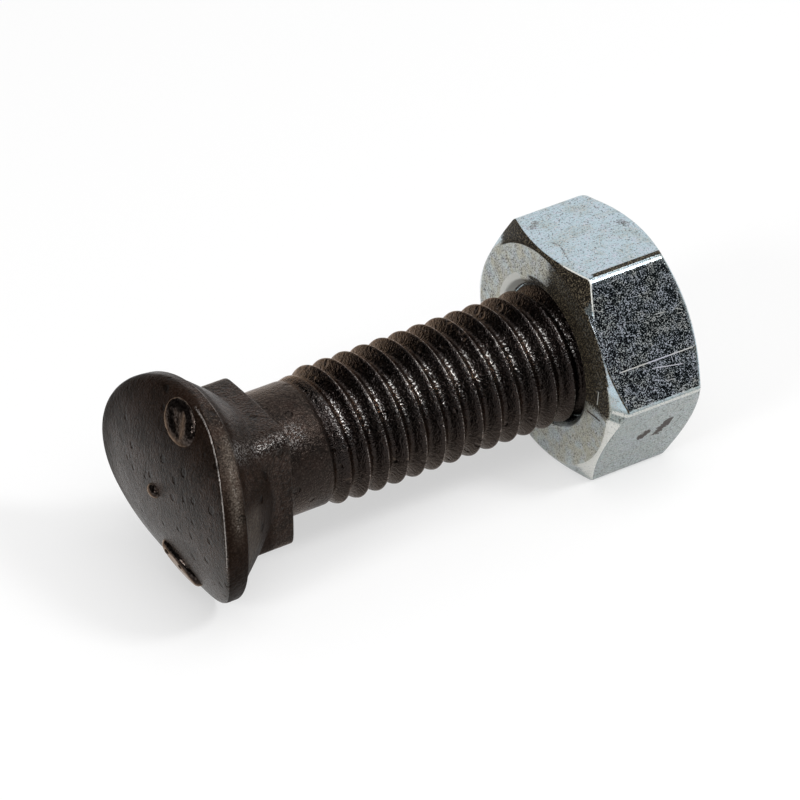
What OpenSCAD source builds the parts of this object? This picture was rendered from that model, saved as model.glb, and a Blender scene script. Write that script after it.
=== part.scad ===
// A plough bolt with its hex nut, lying on a flat of the nut.
// The bolt runs along X, head at the low end, and the ground is z = 0.
// Lengths are millimetres and angles are degrees.

/* [Bolt] */

// From the middle of the head's face to the tip
bolt_length = 40; // [32:0.5:60]
// Plain shank behind the square neck, diameter
shank_diameter = 9; // [8.4:0.1:9.4]
// Where the shank begins to taper into the thread, from the head's face
shank_end = 10.9; // [9.5:0.1:14]

/* [Head] */

// Head across Y, the way its face runs straight
head_width = 17.2; // [15:0.1:20]
// Head across Z, the way its face bends
head_height = 15.6; // [14:0.1:18]
// How far the top and bottom of the face fall behind its middle
face_drop = 2.2; // [1:0.1:3]
// How far the sides of the face fall behind its middle
face_side_drop = 0.3; // [0.1:0.05:0.8]
// Middle of the face to the back of the rim at its sides
rim_depth = 2; // [1.2:0.1:3]
// Full angle of the cone under the rim
cone_angle = 80; // [70:1:90]

/* [Neck] */

// Square neck across its flats
neck_flats = 9.2; // [9.1:0.1:10]
// Square neck across its rounded corners
neck_corners = 11.9; // [11:0.1:12.6]
// Where the neck ends, from the head's face
neck_end = 7.75; // [7:0.05:9]

/* [Thread] */

// Thread over its crests
thread_diameter = 9.84; // [9.7:0.02:10]
// Distance from crest to crest
thread_pitch = 1.5; // [1.25:0.05:1.75]
// Height of a ridge
thread_height = 0.84; // [0.6:0.02:1]
// Flat on top of a ridge, along the bolt
thread_crest = 0.2; // [0.1:0.02:0.4]
// Angle between the two sides of a ridge
thread_angle = 60; // [55:1:65]
// Where a crest crosses the +Y side, from the head's face
thread_start = 12.9; // [11:0.05:14]
// Length of the bevel at the tip
tip_bevel = 1.1; // [0.6:0.1:1.6]
// Flat sides in one turn of the thread
thread_sides = 30; // [18:2:40]

/* [Nut] */

// Nut across its flats
nut_flats = 16.7; // [16:0.05:18]
// Nut across its rounded corners
nut_corners = 19.04; // [18.6:0.02:19.2]
// Thickness of the nut
nut_thickness = 7.6; // [6:0.1:10]
// Bolt tip beyond the nut
nut_from_tip = 1.75; // [1:0.05:6]
// Round land on each face of the nut, diameter
nut_land = 16.2; // [15:0.1:16.4]
// Slope of the corner bevels against the face
nut_bevel_angle = 30; // [20:1:35]
// Gap around the thread's crests in the bore
bore_gap = 0.06; // [0.02:0.01:0.1]
// Mouth of the bore, diameter
mouth_diameter = 10.9; // [10.4:0.1:11.6]

/* [Hidden] */

// Overlap that lets two solids join without a shared face
bite = 0.5;
// Room that a cutting shape needs beyond what it cuts
clear = 5;

axis_height = nut_flats / 2;

// The face is a barrel: it bends tightly in the XZ plane and slightly in the XY plane.
bend_radius = arc_radius(head_height, face_drop);
crown_radius = arc_radius(head_width, face_side_drop);
cone_slope = tan(cone_angle / 2);
neck_start = face_drop + bite;

crest_radius = thread_diameter / 2;
root_radius = crest_radius - thread_height;
// Half width of a ridge at its foot
ridge_foot = thread_crest / 2 + thread_height * tan(thread_angle / 2);
turns_before = ceil((thread_start - shank_end) / thread_pitch) + 1;
turns_after = ceil((bolt_length - thread_start) / thread_pitch) + 1;

nut_start = bolt_length - nut_from_tip - nut_thickness;
bore_radius = crest_radius + bore_gap;

bolt_colour = [0.17, 0.14, 0.13];
nut_colour = [0.74, 0.79, 0.82];

// Radius of an arc from its chord and its height.
function arc_radius(chord, height) = (chord * chord / 4 + height * height) / (2 * height);

// Place on the threaded surface, by turns from thread_start and a corner of the ridge's profile.
function ridge_point(turn, corner) = [
    -corner[1] * sin(360 * turn),
    corner[1] * cos(360 * turn),
    thread_start + turn * thread_pitch + corner[0]
];

// Lays a shape that stands on z = 0 along X, at the height of the bolt.
module lay_along_x() {
    translate([-bolt_length / 2, 0, axis_height])
        rotate([0, 90, 0])
            children();
}

// A barrel on its side, whose wall is the bent face of the head.
module face_barrel() {
    translate([0, 0, bend_radius])
        rotate([90, 0, 0])
            rotate_extrude($fn = 180)
                intersection() {
                    translate([bend_radius - crown_radius, 0])
                        circle(r = crown_radius, $fn = 720);
                    translate([0, -head_width])
                        square([bend_radius + clear, 2 * head_width]);
                }
}

// A cone that narrows from the back of the rim and ends inside the neck.
module head_cone() {
    cone_end = rim_depth + (head_width / 2 - root_radius) / cone_slope;
    translate([0, 0, -clear])
        cylinder(
            r1 = root_radius + (cone_end + clear) * cone_slope,
            r2 = root_radius,
            h = cone_end + clear,
            $fn = 90
        );
}

// The oval head, cut by its bent face and by the cone.
module head() {
    intersection() {
        scale([head_height / head_width, 1, 1])
            cylinder(d = head_width, h = neck_end, $fn = 120);
        face_barrel();
        head_cone();
    }
}

// The square neck, its corners rounded about the bolt's own axis.
module neck() {
    intersection() {
        translate([-neck_flats / 2, -neck_flats / 2, neck_start])
            cube([neck_flats, neck_flats, neck_end - neck_start]);
        cylinder(d = neck_corners, h = neck_end + clear, $fn = 90);
    }
}

// The plain shank, which tapers away under the first ridges.
module shank() {
    start = neck_start + bite;
    radius = shank_diameter / 2;
    taper = radius - root_radius + bite / 2;
    rotate_extrude($fn = 90)
        polygon([
            [0, start],
            [radius, start],
            [radius, shank_end],
            [radius - taper, shank_end + 2 * taper],
            [0, shank_end + 2 * taper]
        ]);
}

// A right-hand screw of plain facets, longer than the bolt needs at both ends.
module screw() {
    sides = thread_sides;
    steps = (turns_before + turns_after) * sides;
    profile = [
        [-ridge_foot, root_radius],
        [-thread_crest / 2, crest_radius],
        [thread_crest / 2, crest_radius],
        [ridge_foot, root_radius]
    ];
    corners = len(profile);
    last = steps * corners;
    head_end = last + corners;
    tip_end = head_end + 1;
    points = [
        for (i = [0 : steps])
            for (corner = profile)
                ridge_point(i / sides - turns_before, corner),
        [0, 0, thread_start - turns_before * thread_pitch],
        [0, 0, thread_start + turns_after * thread_pitch]
    ];
    ridge_faces = [
        for (i = [0 : steps - 1])
            for (j = [0 : corners - 2])
                let (a = i * corners + j, b = a + corners)
                    each [[a, a + 1, b + 1], [a, b + 1, b]]
    ];
    groove_faces = [
        for (i = [0 : steps - sides - 1])
            let (a = i * corners + corners - 1, b = (i + sides) * corners)
                each [[a, b, b + corners], [a, b + corners, a + corners]]
    ];
    start_fan = [
        for (i = [0 : sides - 1])
            [head_end, i * corners, (i + 1) * corners]
    ];
    start_wall = [
        for (j = [0 : corners - 1])
            [head_end, j == corners - 1 ? sides * corners : j + 1, j]
    ];
    end_fan = [
        for (i = [steps - sides : steps - 1])
            [tip_end, (i + 1) * corners + corners - 1, i * corners + corners - 1]
    ];
    end_wall = [
        for (j = [0 : corners - 1])
            [tip_end, j == 0 ? last - sides * corners + corners - 1 : last + j - 1, last + j]
    ];
    polyhedron(
        points = points,
        faces = concat(ridge_faces, groove_faces, start_fan, start_wall, end_fan, end_wall),
        convexity = 10
    );
}

// What the screw is cut to: a tapered start inside the shank and a flat, bevelled tip.
module screw_envelope() {
    start = shank_end + bite / 4;
    inner = shank_diameter / 2 - bite / 2;
    outer = crest_radius + bite;
    rotate_extrude($fn = 90)
        polygon([
            [0, start],
            [inner, start],
            [outer, start + outer - inner],
            [outer, bolt_length - tip_bevel - bite],
            [crest_radius - tip_bevel, bolt_length],
            [0, bolt_length]
        ]);
}

// Forged head and square neck, plain shank and rolled thread, all one piece of steel.
module bolt() {
    color(bolt_colour)
        lay_along_x()
            union() {
                head();
                neck();
                shank();
                intersection() {
                    screw();
                    screw_envelope();
                }
            }
}

// Half of the nut's turned outline, with the bevels that round its corners.
module nut_outline() {
    corner = nut_corners / 2;
    land = nut_land / 2;
    bevel = (corner - land) * tan(nut_bevel_angle);
    rotate_extrude($fn = 180)
        polygon([
            [0, 0],
            [land, 0],
            [corner, bevel],
            [corner, nut_thickness - bevel],
            [land, nut_thickness],
            [0, nut_thickness]
        ]);
}

// Plain bore with a countersunk mouth at each end.
module nut_bore() {
    mouth = mouth_diameter / 2;
    sink = mouth - bore_radius;
    rotate_extrude($fn = 90)
        polygon([
            [0, -clear],
            [mouth + clear, -clear],
            [bore_radius, sink],
            [bore_radius, nut_thickness - sink],
            [mouth + clear, nut_thickness + clear],
            [0, nut_thickness + clear]
        ]);
}

// Hexagon nut, one flat down.
module nut() {
    color(nut_colour)
        lay_along_x()
            translate([0, 0, nut_start])
                difference() {
                    intersection() {
                        translate([0, 0, -clear])
                            rotate([0, 0, 30])
                                cylinder(d = nut_flats / cos(30), h = nut_thickness + 2 * clear, $fn = 6);
                        nut_outline();
                    }
                    nut_bore();
                }
}

bolt();
nut();
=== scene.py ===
"""A plough bolt with its hex nut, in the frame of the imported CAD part."""

import bpy
import numpy as np
from mathutils import Matrix


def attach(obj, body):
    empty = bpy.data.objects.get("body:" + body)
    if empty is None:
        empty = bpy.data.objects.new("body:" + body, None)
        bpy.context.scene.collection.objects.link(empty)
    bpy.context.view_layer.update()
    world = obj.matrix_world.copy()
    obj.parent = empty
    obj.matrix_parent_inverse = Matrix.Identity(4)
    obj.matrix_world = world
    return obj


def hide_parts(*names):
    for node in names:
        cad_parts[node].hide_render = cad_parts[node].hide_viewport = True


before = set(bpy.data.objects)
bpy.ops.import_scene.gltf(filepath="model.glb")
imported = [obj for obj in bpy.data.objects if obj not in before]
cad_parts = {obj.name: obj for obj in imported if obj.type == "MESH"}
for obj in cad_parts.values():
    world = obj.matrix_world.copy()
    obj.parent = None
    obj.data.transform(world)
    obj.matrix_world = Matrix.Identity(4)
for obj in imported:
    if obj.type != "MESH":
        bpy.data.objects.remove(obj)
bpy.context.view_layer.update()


# ---------------------------------------------------------------- the camera
# A long lens looks down on the bolt from its head's side, so that the head's
# face, the top of the thread and three flats of the nut show.

MM = 0.001
PHOTO_LENS = 249.04
PHOTO_SENSOR = 36
PHOTO_DISTANCE = 379.008
PHOTO_AIM = np.array([-0.9954, -0.0635, 8.901])
PHOTO_RIGHT = np.array([0.85223, -0.52250, -0.02629])
PHOTO_UP = np.array([0.31267, 0.46842, 0.82633])
PHOTO_BACK = np.array([-0.41945, -0.71244, 0.56258])
NEAREST_SEEN = 0.01


def new_object(name, data):
    """An object in the scene, for a camera, a lamp or a mesh."""
    made = bpy.data.objects.new(name, data)
    bpy.context.scene.collection.objects.link(made)
    return made


camera = new_object("camera", bpy.data.cameras.new("camera"))
camera.data.lens = PHOTO_LENS
camera.data.sensor_width = PHOTO_SENSOR
camera.data.clip_start = NEAREST_SEEN
turn = Matrix(np.column_stack([PHOTO_RIGHT, PHOTO_UP, PHOTO_BACK]).tolist())
camera.matrix_world = turn.to_4x4()
camera.location = (PHOTO_AIM + PHOTO_BACK * PHOTO_DISTANCE) * MM
bpy.context.scene.camera = camera
bpy.context.scene.view_settings.view_transform = "Standard"


# ----------------------------------------------------- the floor and the light
# A white table in a white room, with a softbox over the bolt and two small
# lamps, in front and beside the camera. Dark screens, for the metal to mirror,
# stand low all round and high at the back, and the camera doesn't see them.

FLOOR_HALF = 3.0
TABLE_PAINT = (0.48, 0.48, 0.48, 1)
TABLE_GLOW = 0.52
WHITE = (1, 1, 1, 1)
ROOM_LIGHT = 0.34
SCREEN_BLACK = (0.012, 0.012, 0.014, 1)
SCREEN_DISTANCE = 0.8
SCREEN_COLUMNS = 49
SCREEN_ROWS = 9


def feed(tree, value, socket):
    """Links an output to the socket, or else sets the socket to a value."""
    if isinstance(value, bpy.types.NodeSocket):
        tree.links.new(value, socket)
    else:
        socket.default_value = value


def node(tree, kind, **values):
    """Adds a node. A value named in_ and a number or word feeds that input, and any other sets a property."""
    made = tree.nodes.new(kind)
    for name, value in values.items():
        if name.startswith("in_"):
            feed(tree, value, made.inputs[int(name[3:]) if name[3:].isdigit() else name[3:]])
        else:
            setattr(made, name, value)
    return made


def combine(tree, operation, first, *others):
    """Math on the first value and each of the others in turn, each an output or a number."""
    for value in others:
        first = node(tree, "ShaderNodeMath", operation=operation, in_0=first, in_1=value).outputs[0]
    return first


def greatest(tree, *values):
    """The greatest of some values."""
    return combine(tree, "MAXIMUM", *values)


def emptied_tree(owner, output):
    """The node tree of a material or of the world, with its output node alone, and that node's socket."""
    owner.use_nodes = True
    owner.node_tree.nodes.clear()
    return owner.node_tree, owner.node_tree.nodes.new(output).inputs["Surface"]


def seen_in_picture(tree):
    """1 for a ray from the camera, and for one that comes by a glossy or clear surface, and else 0."""
    path = tree.nodes.new("ShaderNodeLightPath").outputs
    return greatest(tree, path["Is Camera Ray"], path["Is Glossy Ray"], path["Is Transmission Ray"])


def stage_sheet(name, points, faces, material):
    """A sheet of the room, from points in metres and four-sided faces."""
    mesh = bpy.data.meshes.new(name)
    mesh.from_pydata(points.reshape(-1, 3).tolist(), [], faces.reshape(-1, 4).tolist())
    mesh.materials.append(material)
    sheet = new_object(name, mesh)
    return sheet


table_top = bpy.data.materials.new("table_top")
tree, surface = emptied_tree(table_top, "ShaderNodeOutputMaterial")
paint = node(tree, "ShaderNodeBsdfDiffuse", in_Color=TABLE_PAINT)
glow = node(tree, "ShaderNodeEmission", in_Color=WHITE, in_Strength=TABLE_GLOW)
both = node(tree, "ShaderNodeAddShader", in_0=paint.outputs[0], in_1=glow.outputs[0])
choice = node(tree, "ShaderNodeMixShader", in_0=seen_in_picture(tree), in_1=paint.outputs[0],
              in_2=both.outputs[0])
tree.links.new(choice.outputs[0], surface)
floor_corners = np.array([[-1, -1, 0], [1, -1, 0], [1, 1, 0], [-1, 1, 0]]) * FLOOR_HALF
stage_sheet("floor", floor_corners, np.arange(4), table_top)

room = bpy.data.worlds.new("white_room")
tree, surface = emptied_tree(room, "ShaderNodeOutputWorld")
level = node(tree, "ShaderNodeMapRange", in_0=seen_in_picture(tree), in_3=ROOM_LIGHT, in_4=1.0)
air = node(tree, "ShaderNodeBackground", in_Color=WHITE, in_Strength=level.outputs[0])
tree.links.new(air.outputs[0], surface)
bpy.context.scene.world = room


def square_lamp(name, towards, distance, half_angle, radiance):
    """A square lamp at distance metres, which spans half_angle degrees to each side as the bolt sees it. Its
    power is its radiance times pi times its area."""
    size = 2 * distance * np.tan(np.radians(half_angle))
    lamp = new_object(name, bpy.data.lights.new(name, "AREA"))
    lamp.data.shape = "SQUARE"
    lamp.data.size = size
    lamp.data.energy = radiance * np.pi * size**2
    aim = np.array(towards) / np.linalg.norm(towards)
    side = np.cross([0.0, 0.0, 1.0], aim)
    side = side / np.linalg.norm(side)
    lamp.matrix_world = Matrix(np.column_stack([side, np.cross(aim, side), aim]).tolist()).to_4x4()
    lamp.location = aim * distance


square_lamp("softbox", (0.08, -0.38, 0.91), 0.60, 27, 1.7)
square_lamp("lamp_front", (0.42, -0.52, 0.74), 0.55, 5.5, 24.0)
square_lamp("lamp_beside_camera", (-0.78, -0.33, 0.53), 0.70, 6.5, 14.0)

screen_cloth = bpy.data.materials.new("screen_black")
tree, surface = emptied_tree(screen_cloth, "ShaderNodeOutputMaterial")
cloth = node(tree, "ShaderNodeBsdfDiffuse", in_Color=SCREEN_BLACK)
tree.links.new(cloth.outputs[0], surface)


def dark_screen(name, azimuths, elevations):
    """A bent black screen, part of a sphere round the bolt: degrees from +X towards +Y, and degrees up."""
    a, e = np.meshgrid(np.radians(np.linspace(*azimuths, SCREEN_COLUMNS)),
                       np.radians(np.linspace(*elevations, SCREEN_ROWS)))
    points = SCREEN_DISTANCE * np.stack([np.cos(e) * np.cos(a), np.cos(e) * np.sin(a), np.sin(e)], -1)
    index = np.arange(a.size).reshape(a.shape)
    faces = np.stack([index[:-1, :-1], index[1:, :-1], index[1:, 1:], index[:-1, 1:]], -1)
    screen = stage_sheet(name, points, faces, screen_cloth)
    screen.visible_camera = False
    screen.visible_shadow = False
    screen.visible_diffuse = False


dark_screen("screen_low", (100, 345), (0.5, 35))
dark_screen("screen_high", (-15, 125), (48, 62))
dark_screen("screen_left", (100, 215), (35, 58))
dark_screen("screen_front", (275, 345), (35, 44))


# ------------------------------------------------------------------- the bolt
# One forging of blackened steel: an oval head with a bent face, a cone and a
# square neck under it, a plain shank and a rolled thread. Its x runs from the
# middle of the face, and beta turns from +Y towards +Z.

HEAD_X = -20.0
AXIS_Z = 8.35
BOLT_COLUMNS = 192
# Half the width, the height above and below the axis, and how far aside.
FACE_OVAL = (8.72, 7.70, 8.22, 0.12)
RIM_OVAL = (8.74, 7.45, 8.31, 0.09)
# How far from the middle, and how deep the face is there.
FACE_BEND = (7.68, 2.13)
FACE_CROWN = (8.60, 0.30)
# How deep the edge is turned away, at what angle, and how far round.
TURNED_AWAY = (0.22, 122, 30)
FACE_SHARES = np.concatenate([np.linspace(0, 0.9, 26)[1:], [0.925, 0.95, 0.97]])
RIM_WIDTH = 1.69
RIM_LESS_ABOVE = 0.57
RIM_LESS_BELOW = 1.10
RIM_BACK_SLOPE = 2.6
# x, the radius there, and how fast it falls.
CONE = (2.0, 8.45, 0.8)
CONE_FOOT = (5.27, 5.9, 1.26)
CONE_END = 6.9
NECK_HALF = 4.6
NECK_CORNER = 5.95
NECK_END = 7.75
NECK_LOW_CORNER = 0.34
# x from the neck's end, and how much of the step to the shank is left.
SHOULDER = np.array([[-0.1, 0.99], [-0.04, 0.97], [0.0, 0.92], [0.01, 0.8],
                     [0.02, 0.3], [0.04, 0.08], [0.10, 0.02], [0.18, 0.0]])
SHANK_RADIUS = 4.5
SHANK_STOP = 9.0
CREST = 4.92
ROOT = 4.08
PITCH = 1.5
CREST_HALF = 0.1
THREAD_EASE = 0.16
FIRST_CREST = 12.9
ROOT_FADE = (10.7, 11.7)
CREST_FADE = (11.1, 13.0)
BOLT_LENGTH = 40.0
TIP_RADIUS = 3.82
TIP_EASE = 0.06
TIP_HUB = 0.3


def least(a, b, k):
    """The lesser of a and b, eased over about k: half of their sum less the root of their difference squared
    plus k squared."""
    return (a + b - np.sqrt((a - b) ** 2 + k * k)) / 2


def most(a, b, k):
    """The greater of a and b, eased over about k."""
    return -least(-a, -b, k)


def step(low, high, value):
    """0 below low and 1 above high, and between them three times the square less twice the cube."""
    t = np.clip((value - low) / (high - low), 0, 1)
    return t * t * (3 - 2 * t)


def window(value, start, full, fade, stop):
    """A step up from start to full, times a step down from fade to stop."""
    return step(start, full, value) * step(stop, fade, value)


def bell(value, middle, width):
    """1 at the middle, and e to the minus square of the distance over the width beside it."""
    return np.exp(-((value - middle) / width) ** 2)


def oval(beta, half_y, above, below, aside):
    """Radius at the angle beta of an oval about a point aside of the axis. Its upper and lower halves are
    ellipses of their own height, and the radius is the root of a quadratic."""
    height = np.where(np.sin(beta) > 0, above, below)
    square = (np.cos(beta) / half_y) ** 2 + (np.sin(beta) / height) ** 2
    half_linear = aside * np.cos(beta) / half_y**2
    return (half_linear + np.sqrt(half_linear**2 - square * ((aside / half_y) ** 2 - 1))) / square


def face_depth(y, z):
    """Depth of the bent face: a circle in z, whose radius falls short by a wide circle's depth in y."""
    bend = (FACE_BEND[0] ** 2 + FACE_BEND[1] ** 2) / (2 * FACE_BEND[1])
    crown = (FACE_CROWN[0] ** 2 + FACE_CROWN[1] ** 2) / (2 * FACE_CROWN[1])
    return bend - np.sqrt((bend - crown + np.sqrt(crown**2 - y**2)) ** 2 - z**2)


def curve_between(start, corner, end, count):
    """Points of a quadratic curve from start to end that is drawn towards corner, ends included."""
    t = np.linspace(0, 1, count)[:, None, None]
    return (1 - t) ** 2 * start + 2 * t * (1 - t) * corner + t * t * end


def thread_radius(x, beta):
    """Radius of the thread: flanks of 60 degrees between crest and root, by the distance to the next crest,
    which moves on by a pitch in each turn. It fades in from the shank, and 45 degrees cut it at the tip."""
    turn_part = (x - FIRST_CREST) / PITCH - beta / (2 * np.pi)
    off = np.abs(turn_part - np.round(turn_part)) * PITCH
    flank = CREST - (off - CREST_HALF) * np.sqrt(3)
    ridge = most(least(flank, CREST, THREAD_EASE), ROOT, THREAD_EASE)
    grown = np.where(ridge > SHANK_RADIUS, step(*CREST_FADE, x), step(*ROOT_FADE, x))
    shown = SHANK_RADIUS + (ridge - SHANK_RADIUS) * grown
    return least(shown, TIP_RADIUS + BOLT_LENGTH - x, TIP_EASE), off


beta = np.arange(BOLT_COLUMNS) * 2 * np.pi / BOLT_COLUMNS
beta_deg = np.degrees(beta)
cos_b = np.cos(beta)
sin_b = np.sin(beta)
all_round = np.ones(BOLT_COLUMNS)
face_radius = oval(beta, *FACE_OVAL)
rim_radius = oval(beta, *RIM_OVAL)
turned_away = TURNED_AWAY[0] * bell(beta_deg, *TURNED_AWAY[1:])
edge_x = face_depth(face_radius * cos_b, face_radius * sin_b) + turned_away
band_x = edge_x + RIM_WIDTH - np.where(sin_b > 0, RIM_LESS_ABOVE, RIM_LESS_BELOW) * sin_b**2


def rim_at(x):
    """Radius of the rim, which goes from the face's edge to its own oval in a millimetre, along a sine."""
    return face_radius + 0.02 + (rim_radius - face_radius) * np.sin(np.clip(x - edge_x, 0, 1) * np.pi / 2)


# The face, from near its middle to its edge, which is sharp on one side of the
# head and well rounded on the other.
rounded = step(-0.42, -0.08, cos_b) * step(-0.95, -0.5, sin_b)
share = FACE_SHARES[:, None] * (1 - 0.08 * rounded)
face_x = face_depth(share * face_radius * cos_b, share * face_radius * sin_b)
face_x = face_x + turned_away * np.clip((share - 0.6) / 0.4, 0, 1) ** 2
face_rows = np.stack([face_x, share * face_radius], -1)

# The round edge between the face and the rim.
edge_corner = np.stack([edge_x, face_radius], -1)
edge_stop = edge_x + 0.16 + 0.5 * rounded
edge_end = np.stack([edge_stop, rim_at(edge_stop)], -1)
edge_rows = curve_between(face_rows[-1], edge_corner, edge_end, 8)[1:]


def outer_radius(x):
    """Radius behind the face's edge: the least of the rim, its back and the two slopes of the cone, and then
    the most of that and the square neck, whose corners a circle rounds. Each last number is the easing."""
    rim = rim_at(x)
    rim_back = rim_radius - (x - band_x) * RIM_BACK_SLOPE
    cone = CONE[1] - (x - CONE[0]) * CONE[2]
    foot = CONE_FOOT[1] - (x - CONE_FOOT[0]) * CONE_FOOT[2]
    under = most(least(rim, rim_back, 0.12), least(cone, foot, 0.35), 0.10)
    under = least(under, rim + 0.02, 0.08)
    square = NECK_HALF / np.maximum(np.abs(cos_b), np.abs(sin_b))
    low_corner = NECK_LOW_CORNER * step(0.6, 1.0, -np.sin(beta + np.pi / 8))
    neck = least(square, NECK_CORNER + low_corner, 0.28)
    return most(under, neck, 0.14)


def rows_between(first, last, count):
    """x of count rows, evenly spaced in each column from just after first to last."""
    t = np.linspace(0, 1, count + 1)[1:, None]
    return first + (last - first) * t


rim_x = rows_between(edge_stop, np.maximum(band_x - 0.15, edge_stop + 0.1), 8)
back_x = rows_between(rim_x[-1], band_x + 0.45, 12)
cone_x = rows_between(back_x[-1], CONE_END * all_round, 26)
neck_x = rows_between(cone_x[-1], (NECK_END - 0.18) * all_round, 3)
outer_x = np.vstack([rim_x, back_x, cone_x, neck_x])
outer_rows = np.stack([outer_x, outer_radius(outer_x)], -1)

# The shoulder where the square neck ends, and the plain shank.
shoulder_x = NECK_END * all_round + SHOULDER[:, :1]
shoulder_radius = SHANK_RADIUS + (outer_rows[-1, :, 1] - SHANK_RADIUS) * SHOULDER[:, 1:]
shoulder_rows = np.stack([shoulder_x, shoulder_radius], -1)
shank_x = rows_between(shoulder_x[-1], SHANK_STOP * all_round, 5)
shank_rows = np.stack([shank_x, np.full_like(shank_x, SHANK_RADIUS)], -1)

rings = np.concatenate([face_rows, edge_rows, outer_rows, shoulder_rows, shank_rows])
rows_x = rings[..., 0]
rows_r = rings[..., 1]
ring_count = len(rings)

# The thread is one strip, a pitch wide, that winds from inside the plain
# shank to the flat of the tip, each turn joined to the next.
STRIP_START = 9.3
STRIP_TURNS = 21
CREST_SAMPLES = np.array([-0.75, -0.62, -0.53, -0.42, -0.28, -0.17, -0.11, -0.05,
                          0.0, 0.05, 0.11, 0.17, 0.28, 0.42, 0.53, 0.62])
strip_off = np.sort((CREST_SAMPLES + FIRST_CREST - STRIP_START) % PITCH)
strip_width = len(strip_off)
strip_rows = STRIP_TURNS * BOLT_COLUMNS + 1
strip_t = np.arange(strip_rows + BOLT_COLUMNS)[:, None]
strip_beta = strip_t * 2 * np.pi / BOLT_COLUMNS
strip_x = STRIP_START + PITCH * strip_t / BOLT_COLUMNS + strip_off

# In each column the sample nearest to the tip's flat is moved on to its edge,
# and those past it lie on the flat.
near_tip = np.abs(strip_x - BOLT_LENGTH - 0.0001)
nearest = near_tip[:(STRIP_TURNS + 1) * BOLT_COLUMNS].reshape(-1, BOLT_COLUMNS, strip_width).min((0, 2))
at_tip = near_tip == nearest[strip_t[:, 0] % BOLT_COLUMNS, None]
strip_x = np.where(at_tip, BOLT_LENGTH, strip_x)
strip_radius, crest_distance = thread_radius(np.minimum(strip_x, BOLT_LENGTH), strip_beta)
strip_radius = strip_radius - np.maximum(strip_x - BOLT_LENGTH, 0)
strip_x = np.minimum(strip_x, BOLT_LENGTH)


def turned_points(x, radius, angle):
    """Points in millimetres, from x along the bolt, the distance from its axis and the angle from +Y up."""
    return np.stack([HEAD_X + x, radius * np.cos(angle), AXIS_Z + radius * np.sin(angle)], -1)


def grid_faces(index):
    """Four-sided faces of a grid of point numbers: its rows run along the bolt, its columns round it."""
    return np.stack([index[:-1, :-1], index[:-1, 1:], index[1:, 1:], index[1:, :-1]], -1).reshape(-1, 4)


def closed_round(index):
    """The grid with its first column again at its end."""
    return np.concatenate([index, index[:, :1]], 1)


def fan_faces(hub, chain):
    """Triangles from the point hub to each pair of neighbours in chain."""
    return np.stack([np.full(len(chain) - 1, hub), chain[:-1], chain[1:]], -1)


def new_piece(name, points, quads, triangles, body):
    """A smooth mesh object from points in millimetres and faces, with its place in its mesh, on body."""
    mesh = bpy.data.meshes.new(name)
    corners = np.concatenate([np.ravel(quads), np.ravel(triangles)]).astype(np.int32)
    sizes = np.concatenate([np.full(len(quads), 4), np.full(len(triangles), 3)])
    starts = np.concatenate([[0], np.cumsum(sizes)[:-1]]).astype(np.int32)
    mesh.vertices.add(len(points))
    mesh.vertices.foreach_set("co", (points * MM).astype(np.float32).ravel())
    mesh.loops.add(len(corners))
    mesh.loops.foreach_set("vertex_index", corners)
    mesh.polygons.add(len(sizes))
    mesh.polygons.foreach_set("loop_start", starts)
    mesh.polygons.foreach_set("use_smooth", np.ones(len(sizes), bool))
    mesh.update(calc_edges=True)
    mesh.validate()
    piece = new_object(name, mesh)
    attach(piece, body)
    return piece


def paint_points(piece, name, values):
    """Keeps one number for each point of the piece, for its material to read."""
    layer = piece.data.attributes.new(name, "FLOAT", "POINT")
    layer.data.foreach_set("value", np.asarray(values, np.float32).ravel())


# Point numbers: the middle of the face, the rings, the strip, the strip's
# far edge, and last a point near the middle of the tip.
ring_index = 1 + np.arange(ring_count * BOLT_COLUMNS).reshape(ring_count, BOLT_COLUMNS)
strip_first = 1 + ring_count * BOLT_COLUMNS
strip_index = strip_first + np.arange(strip_rows * strip_width).reshape(-1, strip_width)
far_edge = strip_index[-1, -1] + 1 + np.arange(BOLT_COLUMNS)
edge_index = np.concatenate([strip_index[:, 0], far_edge])
tip_hub = far_edge[-1] + 1
strip_grid = np.concatenate([strip_index, edge_index[BOLT_COLUMNS:][:, None]], 1)

last_ring = ring_index[-1]
bridge = np.stack([last_ring, edge_index[:BOLT_COLUMNS]])
strip_end = edge_index[[BOLT_COLUMNS, BOLT_COLUMNS - 1]]
start_chain = np.concatenate([last_ring[:1], strip_index[0], strip_end])
tip_chain = np.concatenate([edge_index[-BOLT_COLUMNS - 1:], strip_index[-1, :0:-1], strip_index[-1, :1]])
strip_points = turned_points(strip_x, strip_radius, strip_beta)
bolt_points = np.concatenate([
    [[HEAD_X, 0, AXIS_Z]],
    turned_points(rows_x, rows_r, beta).reshape(-1, 3),
    strip_points[:strip_rows].reshape(-1, 3),
    strip_points[strip_rows:, 0],
    [[HEAD_X + BOLT_LENGTH, 0, AXIS_Z + TIP_HUB]],
])
bolt_quads = np.concatenate([
    grid_faces(closed_round(ring_index)),
    grid_faces(bridge),
    grid_faces(strip_grid.T),
])
bolt_triangles = np.concatenate([
    fan_faces(0, closed_round(ring_index)[0, ::-1]),
    fan_faces(last_ring[-1], start_chain),
    fan_faces(tip_hub, tip_chain),
])
bolt = new_piece("bolt_forging", bolt_points, bolt_quads, bolt_triangles, "bolt")
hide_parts("bolt")

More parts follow.
